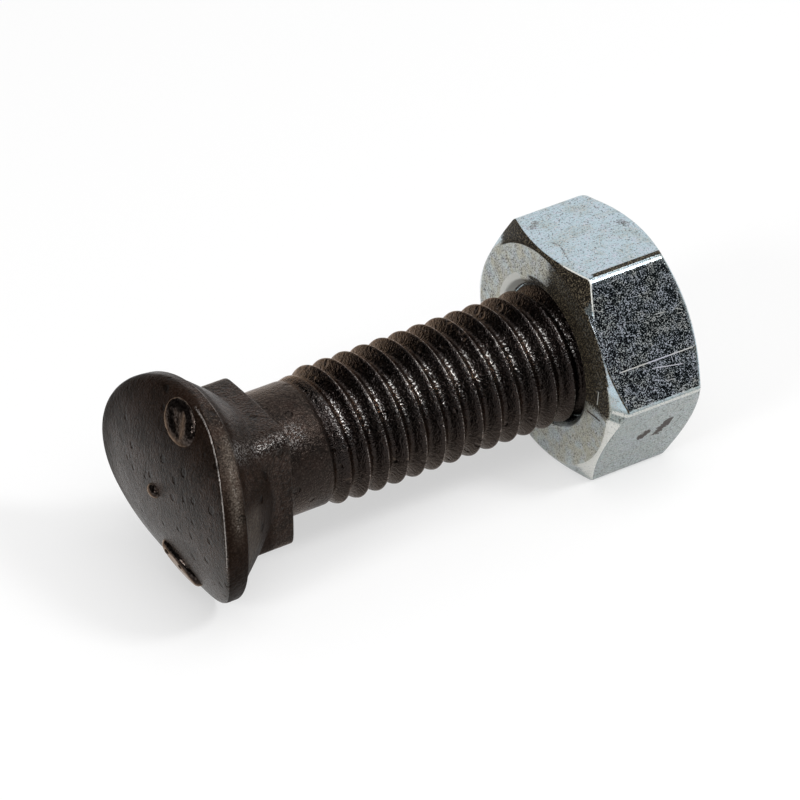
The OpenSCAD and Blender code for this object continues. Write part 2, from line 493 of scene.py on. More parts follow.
# Where the metal is worn bright, partly real wear and partly painted highlights
# kept to the lit sides: the face's sharp edge, the rim's middle and back edge, the
# line where the neck ends, the thread's first turns, and all the thread's crests.
# Lengths are in millimetres and angles in degrees, and a sine or cosine runs
# from -1 to 1.
edge_row = len(face_rows) + 2
behind_edge = (np.arange(ring_count) > edge_row + 3)[:, None]
on_face = 1 - behind_edge
far_side = step(-0.2, -0.45, cos_b)
rim_middle = bell(rows_x, edge_x + 1.02, 0.42) * behind_edge
edge_line = np.zeros((ring_count, BOLT_COLUMNS))
edge_line[edge_row - 1:edge_row + 3] = np.array([0.2, 1.0, 0.9, 0.2])[:, None]
neck_end_line = bell(rows_x, NECK_END, 0.05) * (rows_r > 0.9 * NECK_HALF)
ring_wear_and_highlight = np.maximum.reduce([
    edge_line * (1 - rounded) * step(-0.75, 0.25, sin_b),
    0.36 * rim_middle * step(-0.15, 0.35, sin_b) * far_side,
    0.62 * bell(rows_x, band_x, 0.07) * step(0.7, 0.95, sin_b),
    0.55 * neck_end_line * step(0.3, 0.8, sin_b),
])
# The thread's upper front band, where the light falls: the painted highlights and glints go there.
lit_thread_band = step(0.30, 0.55, np.sin(strip_beta)) * step(-0.10, -0.35, np.cos(strip_beta))
start_lines = bell(crest_distance, 0.15, 0.04) + bell(crest_distance, 0.45, 0.06)
strip_wear_and_highlight = np.maximum(
    0.60 * bell(crest_distance, 0, 0.055) * step(11.2, 13.0, strip_x),
    0.7 * start_lines * lit_thread_band * window(strip_x, 10.9, 11.2, 12.2, 12.5),
)

# Painted shade, darker and less shiny: the underside, behind the rim, the face's
# upper part and its edge at the top and at the near side, and the thread's lower side.
before_neck = 0.35 + 0.65 * step(6.6, 5.6, rows_x)
near_edge = np.clip((rows_r / face_radius - 0.66) / 0.3, 0, 1) * on_face
ring_painted_shade = np.maximum.reduce([
    behind_edge * step(0.75, 0.2, sin_b) * before_neck,
    behind_edge * bell(rows_x, band_x + 0.35, 0.45),
    0.90 * near_edge * bell(beta_deg, 130, 32),
    0.85 * near_edge * step(0.35, 0.85, np.cos(beta - np.radians(15))),
    0.90 * on_face * step(0.5, 6.5, rows_r * sin_b),
])
strip_painted_shade = 0.7 * step(0.3, -0.6, np.sin(strip_beta)) + 0 * strip_x

# Painted sheen, lighter grey specks where highlights fall: on the rim, on the
# face's lower part, and behind the rim.
ring_painted_sheen = np.maximum.reduce([
    rim_middle * window(sin_b, -0.05, 0.40, 0.65, 0.90) * far_side,
    0.40 * on_face * step(2.5, -5.5, rows_r * sin_b),
    0.60 * window(rows_x, 1.9, 2.4, 3.4, 4.4) * window(beta_deg, 161, 172, 188, 202),
])

# Where it is smooth, as on the neck's corners, the shank and the thread, and
# painted glints, bright steel specks as highlights where the light falls: the
# neck's upper corner, the shank's top and the thread's crests and roots.
neck_corners = bell(beta % (np.pi / 2) - np.pi / 4, 0, np.radians(7))
ring_smooth = np.maximum(
    neck_corners * window(rows_x, 2.6, 3.6, NECK_END - 0.2, NECK_END) * (0.6 + 0.4 * step(5.2, 4.2, rows_x)),
    0.5 * step(NECK_END, NECK_END + 0.3, rows_x),
)
strip_smooth = np.maximum(step(10.5, 11.4, strip_x), 0.5)
along_neck = window(rows_x, 2.6, 3.3, NECK_END, NECK_END + 0.1) * (0.45 + 0.65 * step(4.6, 3.8, rows_x))
ring_painted_glints = np.maximum(
    bell(beta_deg, 135, 4.5) * along_neck,
    0.34 * step(NECK_END, NECK_END + 0.2, rows_x) * bell(beta_deg, 133, 9),
)
crest_and_root = np.maximum(0.75 * step(0.50, 0.60, crest_distance), 0.55 * bell(crest_distance, 0, 0.10))
below_top = step(0.97, 0.90, np.sin(strip_beta))
strip_painted_glints = crest_and_root * lit_thread_band * below_top * step(11.2, 12.0, strip_x)


def over_points(on_rings, on_strip, on_hub):
    """One number for each point of the bolt, in the order of its points."""
    winding = [on_strip[:strip_rows].ravel(), on_strip[strip_rows:, 0]]
    return np.concatenate([[0], on_rings.ravel(), *winding, [on_hub]])


paint_points(bolt, "wear_and_highlight", over_points(ring_wear_and_highlight, strip_wear_and_highlight, 0))
paint_points(bolt, "painted_shade", over_points(ring_painted_shade, strip_painted_shade, 0))
paint_points(bolt, "painted_glints", over_points(ring_painted_glints, strip_painted_glints, 0))
paint_points(bolt, "painted_sheen", over_points(ring_painted_sheen, 0 * strip_x, 0))
paint_points(bolt, "smooth", over_points(ring_smooth, strip_smooth, 1))


def new_finish(name):
    """A material with one Principled shader, and its node tree and shader."""
    finish = bpy.data.materials.new(name)
    finish.use_nodes = True
    shader = finish.node_tree.nodes["Principled BSDF"]
    return finish, finish.node_tree, shader


def place(tree, turned=(0, 0, 0), scale=(1, 1, 1)):
    """The object's own coordinates in millimetres, turned and scaled."""
    coords = tree.nodes.new("ShaderNodeTexCoord").outputs["Object"]
    per_mm = [s / MM for s in scale]
    return node(tree, "ShaderNodeMapping", in_Vector=coords, in_Rotation=turned, in_Scale=per_mm).outputs[0]


def grain(tree, where, size, detail, rough):
    """Noise from 0 to 1 with lumps of about size millimetres."""
    made = node(tree, "ShaderNodeTexNoise", in_Vector=where, in_Scale=1 / size, in_Detail=detail,
                in_Roughness=rough)
    return made.outputs["Fac"]


def ramp(tree, value, low, high, out_low=0.0, out_high=1.0):
    """Takes value from low..high to out_low..out_high along a smooth step."""
    made = node(tree, "ShaderNodeMapRange", interpolation_type="SMOOTHSTEP",
                in_0=value, in_1=low, in_2=high, in_3=out_low, in_4=out_high)
    return made.outputs[0]


def times(tree, *values):
    """The product of some values."""
    return combine(tree, "MULTIPLY", *values)


def plus(tree, *values):
    """The sum of some values."""
    return combine(tree, "ADD", *values)


def rest_of(tree, value):
    """1 less the value."""
    return combine(tree, "SUBTRACT", 1.0, value)


def tint(tree, amount, first, second):
    """Colour that goes from first to second by amount, each an output or a colour."""
    first, second = [(*c, 1) if isinstance(c, tuple) else c for c in (first, second)]
    return node(tree, "ShaderNodeMix", data_type="RGBA", in_0=amount, in_6=first, in_7=second).outputs[2]


def relief(tree, height, distance, strength=1.0, after=None):
    """Bump of distance millimetres from a height of 0 to 1, over the bump after."""
    made = node(tree, "ShaderNodeBump", in_Height=height, in_Distance=distance * MM, in_Strength=strength)
    if after is not None:
        tree.links.new(after, made.inputs["Normal"])
    return made.outputs[0]


def point_value(tree, name):
    """A number that paint_points has kept on the piece."""
    made = node(tree, "ShaderNodeAttribute", attribute_name=name)
    return made.outputs["Fac"]


OXIDE_BLACK = (0.0035, 0.0020, 0.0014)
OXIDE_BROWN = (0.024, 0.0125, 0.0088)
OXIDE_GREY = (0.060, 0.043, 0.034)
OXIDE_SHADE = (0.0110, 0.0060, 0.0037)
OXIDE_HIGHLIGHT = (0.142, 0.118, 0.097)
OXIDE_SHEEN = (1.0, 0.80, 0.66, 1)
OXIDE_IOR = 1.25
PAINTED_GLINT_STEEL = (0.46, 0.45, 0.44)
OILED_STEEL = (0.027, 0.023, 0.0215)
WORN_AND_HIGHLIT_STEEL = (0.30, 0.275, 0.26)
PIT_SPACING = 1.3

black_oxide, tree, shader = new_finish("black_oxide_steel")
spot = place(tree)
fine = grain(tree, spot, 0.125, 1.0, 0.6)
pores = grain(tree, place(tree, (0.5, 0.1, 0.2), (1, 1, 0.7)), 0.30, 2.0, 0.5)
cloud = grain(tree, place(tree, (0.1, 0.7, 0.3)), 2.4, 3.0, 0.6)
patch = grain(tree, place(tree, (0.4, 0.2, 0.1)), 0.9, 4.0, 0.6)
painted_shade = point_value(tree, "painted_shade")
smooth = times(tree, point_value(tree, "smooth"), ramp(tree, fine, 0.36, 0.56, 0.55, 1.0))
colour = tint(tree, ramp(tree, cloud, 0.35, 0.68), OXIDE_BLACK, OXIDE_BROWN)
colour = tint(tree, ramp(tree, fine, 0.50, 0.66, 0.0, 0.9), colour, OXIDE_GREY)
colour = tint(tree, ramp(tree, pores, 0.45, 0.36, 0.0, 0.9), colour, OXIDE_BLACK)
# Painted shade darkens the colour.
colour = tint(tree, times(tree, painted_shade, 0.75), colour, OXIDE_SHADE)
pit_cells = node(tree, "ShaderNodeTexVoronoi", in_Vector=spot, in_Scale=1 / PIT_SPACING)
pit_chance = node(tree, "ShaderNodeSeparateColor", in_0=pit_cells.outputs["Color"])
pit_reach = times(tree, pit_chance.outputs[0], 0.22)
pit = ramp(tree, combine(tree, "SUBTRACT", pit_reach, pit_cells.outputs["Distance"]), -0.08, 0.04)
colour = tint(tree, times(tree, pit, 0.8), colour, OXIDE_BLACK)
colour = tint(tree, smooth, colour, OILED_STEEL)
# Painted shade on the smooth metal as well.
colour = tint(tree, times(tree, painted_shade, smooth, 0.75), colour, OXIDE_SHADE)
# Painted glints: bright steel specks where the light falls.
painted_glint = times(tree, point_value(tree, "painted_glints"), ramp(tree, patch, 0.40, 0.60, 0.45, 1.0))
painted_glint = times(tree, painted_glint, ramp(tree, fine, 0.48, 0.60))
colour = tint(tree, painted_glint, colour, PAINTED_GLINT_STEEL)
# Painted sheen: lighter grey specks where highlights fall.
painted_sheen = times(tree, point_value(tree, "painted_sheen"), ramp(tree, fine, 0.34, 0.70, 0.20, 0.85))
colour = tint(tree, painted_sheen, colour, OXIDE_HIGHLIGHT)
uneven = plus(tree, fine, times(tree, patch, 0.5))
# Worn bright metal on the crests, and painted highlights along lit edges.
wear_and_highlight = ramp(tree, plus(tree, point_value(tree, "wear_and_highlight"), uneven), 1.15, 1.60)
colour = tint(tree, wear_and_highlight, colour, WORN_AND_HIGHLIT_STEEL)
tree.links.new(colour, shader.inputs["Base Color"])
# Painted shade also dulls the metal and weakens its reflection.
shiny = times(tree, smooth, ramp(tree, painted_shade, 0.0, 0.7, 1.0, 0.35))
tree.links.new(greatest(tree, shiny, painted_glint, wear_and_highlight), shader.inputs["Metallic"])
tree.links.new(ramp(tree, painted_shade, 0.0, 1.0, 0.5, 0.09), shader.inputs["Specular IOR Level"])
satin = plus(tree, ramp(tree, fine, 0.3, 0.75, 0.24, 0.38), ramp(tree, cloud, 0.3, 0.7, 0.05, -0.05))
satin = plus(tree, satin, times(tree, painted_shade, 0.16))
oily = ramp(tree, patch, 0.35, 0.7, 0.08, 0.20)
gloss = node(tree, "ShaderNodeMix", in_0=smooth, in_2=satin, in_3=oily)
tree.links.new(gloss.outputs[0], shader.inputs["Roughness"])
shader.inputs["IOR"].default_value = OXIDE_IOR
shader.inputs["Specular Tint"].default_value = OXIDE_SHEEN
bump = relief(tree, fine, 0.055)
bump = relief(tree, pores, 0.075, 0.9, bump)
bump = relief(tree, rest_of(tree, pit), 0.14, 1.0, bump)
bump = relief(tree, patch, 0.10, 0.35, bump)
tree.links.new(bump, shader.inputs["Normal"])
bolt.data.materials.append(black_oxide)


# ---------------------------------------------- the raised marks on the face
# Plain forging marks, pressed up with the head: an oval boss with a broad and a
# small hollow near the top edge, an oval pad with two pips on it near the bottom
# edge, and a round pip in the middle.

# Outlines of a mark: how far out, and how high, from its middle to inside the head.
DOMED = np.array([[0, 1.0], [0.25, 0.97], [0.5, 0.86], [0.7, 0.66], [0.85, 0.4], [0.95, 0.12],
                  [1.0, -0.15], [1.0, -0.9]])
FLAT_TOPPED = np.array([[0, 1.0], [0.2, 1.0], [0.4, 1.0], [0.56, 1.0], [0.68, 0.99], [0.78, 0.95],
                        [0.86, 0.85], [0.93, 0.6], [0.98, 0.2], [1.0, -0.2], [1.0, -1.2]])
LUMP = np.array([[0, 0.98], [0.12, 0.98], [0.25, 0.97], [0.36, 0.95], [0.46, 0.92], [0.56, 0.87],
                 [0.65, 0.81], [0.73, 0.73], [0.81, 0.60], [0.88, 0.44], [0.94, 0.24], [0.99, 0.02],
                 [1.02, -0.15], [1.02, -0.9]])
# A hollow's place on the mark, y and z, its reach and its depth.
HOLLOWS = [(0.10, 0.16, 0.98, 0.30), (-0.75, -0.35, 0.45, 0.08)]
# A mark's middle, y and z, half its size in both, its outline, its height, how
# far it is lifted off the face, its lean in radians, and its hollows.
MARKS = [
    (-1.10, 6.02, 1.95, 1.30, LUMP, 0.38, 0.0, 0.20, HOLLOWS),
    (0.68, -0.05, 0.68, 0.52, DOMED, 0.36, 0.0, 0.0, []),
    (-0.62, -5.72, 2.10, 1.15, FLAT_TOPPED, 0.36, 0.0, 0.42, []),
    (0.32, -4.98, 0.24, 0.20, DOMED, 0.10, 0.36, 0.0, []),
    (-1.15, -5.42, 0.20, 0.17, DOMED, 0.08, 0.36, 0.0, []),
]
MARK_COLUMNS = 56
MARK_BLACK = (0.013, 0.009, 0.0078)
MARK_BROWN = (0.072, 0.060, 0.053)
MARK_METAL = 0.82


def raised_mark(y, z, half_y, half_z, outline, height, lift, lean, hollows):
    """Points of an oval mark: each ring of the outline is an ellipse on the bent face, moved out along the
    face's normal by the outline's height less the bell-shaped hollows."""
    angle = np.arange(MARK_COLUMNS) * 2 * np.pi / MARK_COLUMNS
    across = outline[:, :1] * half_y * np.cos(angle)
    along = outline[:, :1] * half_z * np.sin(angle)
    py = y + across * np.cos(lean) - along * np.sin(lean)
    pz = z + across * np.sin(lean) + along * np.cos(lean)
    nudge = 0.01
    slope_y = (face_depth(py + nudge, pz) - face_depth(py - nudge, pz)) / (2 * nudge)
    slope_z = (face_depth(py, pz + nudge) - face_depth(py, pz - nudge)) / (2 * nudge)
    out = outline[:, 1:] * height + lift + 0 * across
    for at_y, at_z, reach, depth in hollows:
        off_square = (across - at_y) ** 2 + (along - at_z) ** 2
        out = out - depth * np.exp(-off_square / reach**2) * (outline[:, 1:] > 0.3)
    out = out / np.sqrt(1 + slope_y**2 + slope_z**2)
    rows = np.stack([face_depth(py, pz) - out, py + out * slope_y, pz + out * slope_z], -1)
    return rows[1:], rows[0, 0]


def closed_mark(rows, top, first):
    """Faces of a mark: a fan over its top, its wall, and a fan that shuts it inside the head."""
    count = len(rows)
    ring = closed_round(first + np.arange(count * MARK_COLUMNS).reshape(count, MARK_COLUMNS))
    hub = first + count * MARK_COLUMNS
    triangles = np.concatenate([fan_faces(hub, ring[0, ::-1]), fan_faces(hub + 1, ring[-1])])
    points = np.concatenate([rows.reshape(-1, 3), top[None], rows[-1].mean(0)[None]])
    return points, grid_faces(ring), triangles


mark_parts = []
first = 0
for mark in MARKS:
    mark_parts.append(closed_mark(*raised_mark(*mark), first))
    first = first + len(mark_parts[-1][0])
mark_points, mark_quads, mark_triangles = [np.concatenate(part) for part in zip(*mark_parts)]
mark_points = mark_points + [HEAD_X, 0, AXIS_Z]
marks = new_piece("face_marks", mark_points, mark_quads, mark_triangles, "bolt")

oiled_black, tree, shader = new_finish("oiled_black_marks")
fine = grain(tree, place(tree), 0.16, 2.0, 0.6)
patch = grain(tree, place(tree, (0.4, 0.2, 0.1)), 0.9, 1.0, 0.5)
colour = tint(tree, ramp(tree, fine, 0.4, 0.7), MARK_BLACK, MARK_BROWN)
tree.links.new(colour, shader.inputs["Base Color"])
shader.inputs["Metallic"].default_value = MARK_METAL
shader.inputs["IOR"].default_value = OXIDE_IOR
shader.inputs["Specular Tint"].default_value = OXIDE_SHEEN
tree.links.new(ramp(tree, patch, 0.3, 0.8, 0.09, 0.20), shader.inputs["Roughness"])
bump = relief(tree, fine, 0.014, 0.6)
bump = relief(tree, patch, 0.20, 0.6, bump)
tree.links.new(bump, shader.inputs["Normal"])
marks.data.materials.append(oiled_black)


# -------------------------------------------------------------------- the nut
# A hexagon nut, cold formed and zinc plated, with bevelled corners and a round
# land on both faces. Its bore is sunk at both mouths, and its thread is a
# ridge that runs in the bolt's groove.

NUT_NEAR = 30.65
NUT_FAR = 38.25
NUT_HALF = 8.35
NUT_LAND = 8.1
NUT_MOUTH = 5.45
NUT_BORE = 5.0
NUT_BEVEL = np.tan(np.radians(30))
NUT_FILLET = 0.55
FILLET_COLUMNS = 60
FLAT_COLUMNS = 12
ROUNDING_ROWS = 5

# The columns stand close together round the hexagon's filleted corners.
corner_turn = np.degrees(np.arctan((NUT_HALF - NUT_FILLET) * np.tan(np.pi / 6) / NUT_HALF))
sixth = np.concatenate([corner_turn * np.sin(np.linspace(-np.pi / 2, np.pi / 2, FILLET_COLUMNS + 1)[:-1]),
                        np.linspace(corner_turn, 60 - corner_turn, FLAT_COLUMNS + 1)[:-1]])
nut_angle = np.radians(np.sort((sixth + 60 * np.arange(6)[:, None] + 180).ravel() % 360) - 90)
angle_deg = np.degrees(nut_angle)
off_flat = nut_angle % (np.pi / 3) - np.pi / 6
off_corner = np.pi / 6 - np.abs(off_flat)
fillet_middle = (NUT_HALF - NUT_FILLET) / np.cos(np.pi / 6)
fillet_reach = np.maximum(NUT_FILLET**2 - (fillet_middle * np.sin(off_corner)) ** 2, 0)
nut_outline = np.where(np.abs(off_flat) <= np.radians(corner_turn), NUT_HALF / np.cos(off_flat),
                       fillet_middle * np.cos(off_corner) + np.sqrt(fillet_reach))
bevel = (nut_outline - NUT_LAND) * NUT_BEVEL
same = np.ones_like(nut_outline)
sink = NUT_MOUTH - NUT_BORE
far_round = 0.12 + 0.45 * bell(angle_deg, 60, 12)
far_round = np.minimum(far_round, 0.45 * (nut_outline - NUT_LAND) / np.cos(np.radians(30)))

# Corners of the section in each column, in order from the near mouth out and
# over to the far one: x, radius, how far its rounding reaches, and how many
# rows follow it.
SECTION = [
    (NUT_NEAR + sink, NUT_BORE, 0.08, 3),
    (NUT_NEAR, NUT_MOUTH, 0.10, 10),
    (NUT_NEAR, NUT_LAND, 0.10, 3),
    (NUT_NEAR + bevel, nut_outline, 0.12, 40),
    (NUT_FAR - bevel, nut_outline, far_round, 3),
    (NUT_FAR, NUT_LAND, 0.10, 10),
    (NUT_FAR, NUT_MOUTH, 0.10, 3),
    (NUT_FAR - sink, NUT_BORE, 0.08, 6),
]
corners = np.stack([np.stack([x * same, r * same], -1) for x, r, _, _ in SECTION])
reaches = [(reach * same)[:, None] for _, _, reach, _ in SECTION]
nut_rows = []
for i, corner in enumerate(corners):
    following = (i + 1) % len(corners)
    back = corners[i - 1] - corner
    ahead = corners[following] - corner
    ahead_length = np.linalg.norm(ahead, axis=-1, keepdims=True)
    enter = corner + back * reaches[i] / np.linalg.norm(back, axis=-1, keepdims=True)
    leave = corner + ahead * reaches[i] / ahead_length
    stop = corner + ahead * (1 - reaches[following] / ahead_length)
    t = np.linspace(0, 1, SECTION[i][3] + 2)[1:-1, None, None]
    nut_rows.append(curve_between(enter, corner, leave, ROUNDING_ROWS))
    nut_rows.append(leave + (stop - leave) * t)
nut_rows = np.concatenate(nut_rows)
nut_x = nut_rows[..., 0]
nut_r = nut_rows[..., 1]
nut_points = turned_points(nut_x, nut_r, nut_angle).reshape(-1, 3)
nut_index = closed_round(np.arange(nut_x.size).reshape(nut_x.shape))
nut_index = np.concatenate([nut_index, nut_index[:1]])
nut = new_piece("nut_body", nut_points, grid_faces(nut_index), np.zeros((0, 3), int), "nut")
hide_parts("nut")

# Where a point is on the metal as it lies unrolled, in millimetres: along and
# round on the six flats, and across, from END_ORIGIN, and up on the round faces.
END_ORIGIN = 80
step_round = np.hypot(np.diff(nut_outline * np.cos(nut_angle)), np.diff(nut_outline * np.sin(nut_angle)))
way_round = np.concatenate([[0], np.cumsum(step_round)])
on_side = (nut_r > NUT_LAND + 0.15) & (nut_x > NUT_NEAR + 0.12) & (nut_x < NUT_FAR - 0.12)
on_end = (1 - on_side) * (nut_r > NUT_BORE + 0.1)
unrolled = np.stack([
    np.where(on_side, nut_x, END_ORIGIN + nut_r * np.cos(nut_angle)),
    np.where(on_side, way_round, nut_r * np.sin(nut_angle)),
    np.zeros_like(nut_x),
], -1)
layer = nut.data.attributes.new("unrolled", "FLOAT_VECTOR", "POINT")
layer.data.foreach_set("vector", unrolled.astype(np.float32).ravel())
paint_points(nut, "end_face", on_end)

# Where grime and painted shade sit: grime on the near bevel's upper side, a dark
# band over the upper edge, painted shade on the near face beside the bolt,
# darkest at the mouth, a dark patch beside the mouth, and thin dark lines round
# the flats' ends.
from_near = nut_x - NUT_NEAR
past_bevel = from_near - bevel
outside_land = nut_r > NUT_LAND
near_bevel = (nut_r > NUT_LAND - 0.05) * step(0.10, 0.0, past_bevel)
above_edge = np.interp(np.radians(120), nut_angle, way_round) - way_round
edge_dark_band = window(above_edge, 0.10, 0.18, 0.50, 0.66) * on_side * step(0.9, 1.6, from_near)
# Painted shade on the near face beside the bolt, darker towards the mouth.
face_shade = on_end * window(angle_deg, 86, 104, 184, 195) * step(0.3, 0.1, from_near)
face_shade = face_shade * (0.82 + 0.25 * step(7.0, 5.8, nut_r))
bevel_grime = near_bevel * window(angle_deg, 42, 56, 122, 140)
beside_mouth = on_end * (from_near < 0.5) * step(6.15, 5.8, nut_r)
far_line = bell(nut_x - NUT_FAR + bevel, -0.14, 0.09) * outside_land
paint_points(nut, "grime_and_shade", np.maximum.reduce([
    np.clip(bevel_grime + edge_dark_band + face_shade, 0, 1.1),
    0.80 * beside_mouth * window(angle_deg, 62, 78, 100, 120),
    0.95 * bell(past_bevel, 0.03, 0.08) * outside_land * window(angle_deg, 150, 162, 179, 181),
    0.80 * far_line * window(angle_deg, 118, 124, 177, 182),
]))

# Where the plating is painted pale, as highlights and reflections: just under the
# lower edge, at the near ends of the top and the front flat, on the lower bevel,
# and at the mouth.
below_edge = way_round - np.interp(np.radians(180), nut_angle, way_round)
paint_points(nut, "highlight_and_scratch", np.maximum.reduce([
    0.66 * window(below_edge, -0.02, 0.06, 0.34, 0.50) * on_side,
    bell(past_bevel, 0.03, 0.07) * outside_land * window(angle_deg, 98, 108, 124, 152),
    0.76 * near_bevel * window(angle_deg, 184, 188, 235, 250),
    1.20 * beside_mouth * window(angle_deg, 12, 26, 54, 66),
]))


FULL_TURN = 6.283


def line_on(tree, where, angle, side, end):
    """1 along a line through where's origin that lies at minus the angle, and 0 away from it. Side and end
    are pairs of distances: at the first it has faded out, and up to the second it is whole."""
    turned = node(tree, "ShaderNodeVectorRotate", rotation_type="Z_AXIS", in_Vector=where, in_Angle=angle)
    apart = node(tree, "ShaderNodeSeparateXYZ", in_0=turned.outputs[0])
    beside = ramp(tree, combine(tree, "ABSOLUTE", apart.outputs[1], 0.0), *side)
    within = ramp(tree, combine(tree, "ABSOLUTE", apart.outputs[0], 0.0), *end)
    return times(tree, beside, within)


def hairlines(tree, where, cell, width, length):
    """Short straight scratches of width and length, one in each cell of a cell pattern: its middle is the
    cell's, and its turn and its strength are random."""
    scaled = node(tree, "ShaderNodeVectorMath", operation="SCALE", in_0=where, in_Scale=1 / cell).outputs[0]
    cells = node(tree, "ShaderNodeTexVoronoi", voronoi_dimensions="2D", in_Vector=scaled, in_Scale=1.0)
    middle = cells.outputs["Position"]
    local = node(tree, "ShaderNodeVectorMath", operation="SUBTRACT", in_0=scaled, in_1=middle).outputs[0]
    chance = node(tree, "ShaderNodeSeparateColor", in_0=cells.outputs["Color"])
    line = line_on(tree, local, times(tree, chance.outputs[0], FULL_TURN),
                   (width / cell, 0.2 * width / cell), (0.5 * length / cell, 0.3 * length / cell))
    return times(tree, line, ramp(tree, chance.outputs[1], 0.3, 0.9))


def stroke(tree, where, begin, end, width, soft=0.5):
    """1 along a straight stroke between two places on the unrolled metal, and 0 from width beside it on. The
    soft part of the width is a slope."""
    run = np.subtract(end, begin)
    middle = (*(np.add(begin, end) / 2), 0)
    moved = node(tree, "ShaderNodeVectorMath", operation="SUBTRACT", in_0=where, in_1=middle).outputs[0]
    half = float(np.linalg.norm(run)) / 2
    hard = width * (1 - soft)
    angle = -np.arctan2(run[1], run[0])
    return line_on(tree, moved, angle, (width, hard), (half + width, half + hard))


def strokes(tree, where, rows):
    """The greatest of some strokes."""
    return greatest(tree, *[stroke(tree, where, *row) for row in rows])


ZINC_BLUE = (0.48, 0.60, 0.66)
ZINC_GREY = (0.34, 0.40, 0.40)
ZINC_VIOLET = (0.46, 0.47, 0.60)
ZINC_BEIGE = (0.47, 0.45, 0.35)
ZINC_SHADE = (0.25, 0.30, 0.29)
ZINC_SPECK = (0.060, 0.058, 0.052)
ZINC_DUST = (0.54, 0.54, 0.62)
ZINC_HAZE = (0.54, 0.53, 0.50)
GRIME_SHADE_BLACK = (0.010, 0.008, 0.006)
GRIME_SHADE_OLIVE = (0.16, 0.132, 0.088)
PALE_HIGHLIGHT_AND_SCRATCH = (0.74, 0.74, 0.70)
STAIN = (0.036, 0.018, 0.011)
WISP_STRETCH = (0.45, 2.2, 1.0)
TOP_MID, FRONT_MID, LOW_MID = np.interp(np.radians([90, 150, 210]), nut_angle, way_round)
# Strokes on the unrolled metal: from, to, half their width, and how soft.
STAIN_LINES = [
    ((31.97, TOP_MID - 0.57), (32.17, TOP_MID), 0.10),
    ((32.17, TOP_MID), (31.90, TOP_MID + 1.07), 0.08),
    ((31.90, TOP_MID + 1.07), (31.65, TOP_MID + 1.96), 0.07),
    ((33.3, TOP_MID - 0.4), (37.1, TOP_MID), 0.05, 1.0),
    ((74.35, -1.60), (72.80, -1.54), 0.10),
]
BLOTS = [
    ((37.25, TOP_MID - 0.40), (37.45, TOP_MID + 0.20), 0.60, 1.0),
    ((31.7, TOP_MID - 3.0), (32.4, TOP_MID - 3.4), 0.50, 1.0),
    ((33.95, LOW_MID - 0.10), (34.25, LOW_MID - 0.40), 0.80, 1.0),
    ((35.45, LOW_MID + 0.10), (35.90, LOW_MID - 1.15), 0.85, 1.0),
]
FACE_SCRATCH = [((72.92, 0.75), (73.10, -0.35), 0.07, 1.0)]
FRONT_SCRATCHES = [
    ((31.71, FRONT_MID + 1.86), (37.61, FRONT_MID + 1.91), 0.055),
    ((34.2, FRONT_MID + 2.35), (36.5, FRONT_MID + 2.75), 0.04),
]

zinc, tree, shader = new_finish("zinc_plate")
spot = place(tree)
laid = node(tree, "ShaderNodeAttribute", attribute_name="unrolled").outputs["Vector"]
fine = grain(tree, spot, 0.092, 1.0, 0.6)
cloud = grain(tree, spot, 1.5, 4.0, 0.62)
patch = grain(tree, place(tree, (0.2, 0.5, 0.9)), 0.5, 3.0, 0.6)
specks = grain(tree, place(tree, (0.4, 0.9, 0.2)), 0.14, 2.0, 0.6)
stretched = node(tree, "ShaderNodeVectorMath", operation="MULTIPLY", in_0=laid, in_1=WISP_STRETCH)
wisps = grain(tree, stretched.outputs[0], 0.55, 3.0, 0.65)
height = node(tree, "ShaderNodeSeparateXYZ", in_0=spot).outputs[2]
low = ramp(tree, height, 8.7, 8.2)
on_top = ramp(tree, height, 16.0, 16.6, 0.0, 0.65)
at_end = point_value(tree, "end_face")
at_side = rest_of(tree, at_end)

# The plating: blue, with grey clouds and wisps, a little violet, beige on the
# two round faces, painted shade on the lower flats, and full of dark specks.
colour = tint(tree, ramp(tree, cloud, 0.45, 0.72, 0.0, 0.8), ZINC_BLUE, ZINC_GREY)
colour = tint(tree, ramp(tree, patch, 0.52, 0.68, 0.0, 0.25), colour, ZINC_VIOLET)
# Painted shade on the lower flats.
colour = tint(tree, times(tree, at_side, low), colour, ZINC_SHADE)
colour = tint(tree, times(tree, at_side, ramp(tree, wisps, 0.50, 0.68, 0.0, 0.6)), colour, ZINC_GREY)
colour = tint(tree, times(tree, at_end, ramp(tree, cloud, 0.3, 0.6, 0.35, 0.9)), colour, ZINC_BEIGE)
dark_specks = greatest(
    tree,
    ramp(tree, specks, 0.585, 0.66, 0.0, 0.85),
    times(tree, low, ramp(tree, fine, 0.46, 0.36, 0.0, 0.7)),
    times(tree, at_end, ramp(tree, fine, 0.50, 0.38, 0.0, 0.9)),
)
colour = tint(tree, times(tree, dark_specks, ramp(tree, patch, 0.36, 0.6, 0.35, 1.0)), colour, ZINC_SPECK)

# Grime and painted shade, as painted on the points and broken up, and grime as
# small flecks.
grime_and_shade = plus(tree, point_value(tree, "grime_and_shade"), times(tree, specks, -1.1))
flecked = combine(tree, "SUBTRACT", greatest(tree, at_end, low), times(tree, at_end, low, 0.75))
flecks = times(tree, greatest(tree, flecked, on_top), ramp(tree, specks, 0.52, 0.66, 0.0, 0.70))
grime_and_shade = greatest(tree, ramp(tree, grime_and_shade, -0.20, 0.25), flecks)
grime_and_shade_colour = tint(tree, ramp(tree, fine, 0.50, 0.66), GRIME_SHADE_BLACK, GRIME_SHADE_OLIVE)
colour = tint(tree, grime_and_shade, colour, grime_and_shade_colour)

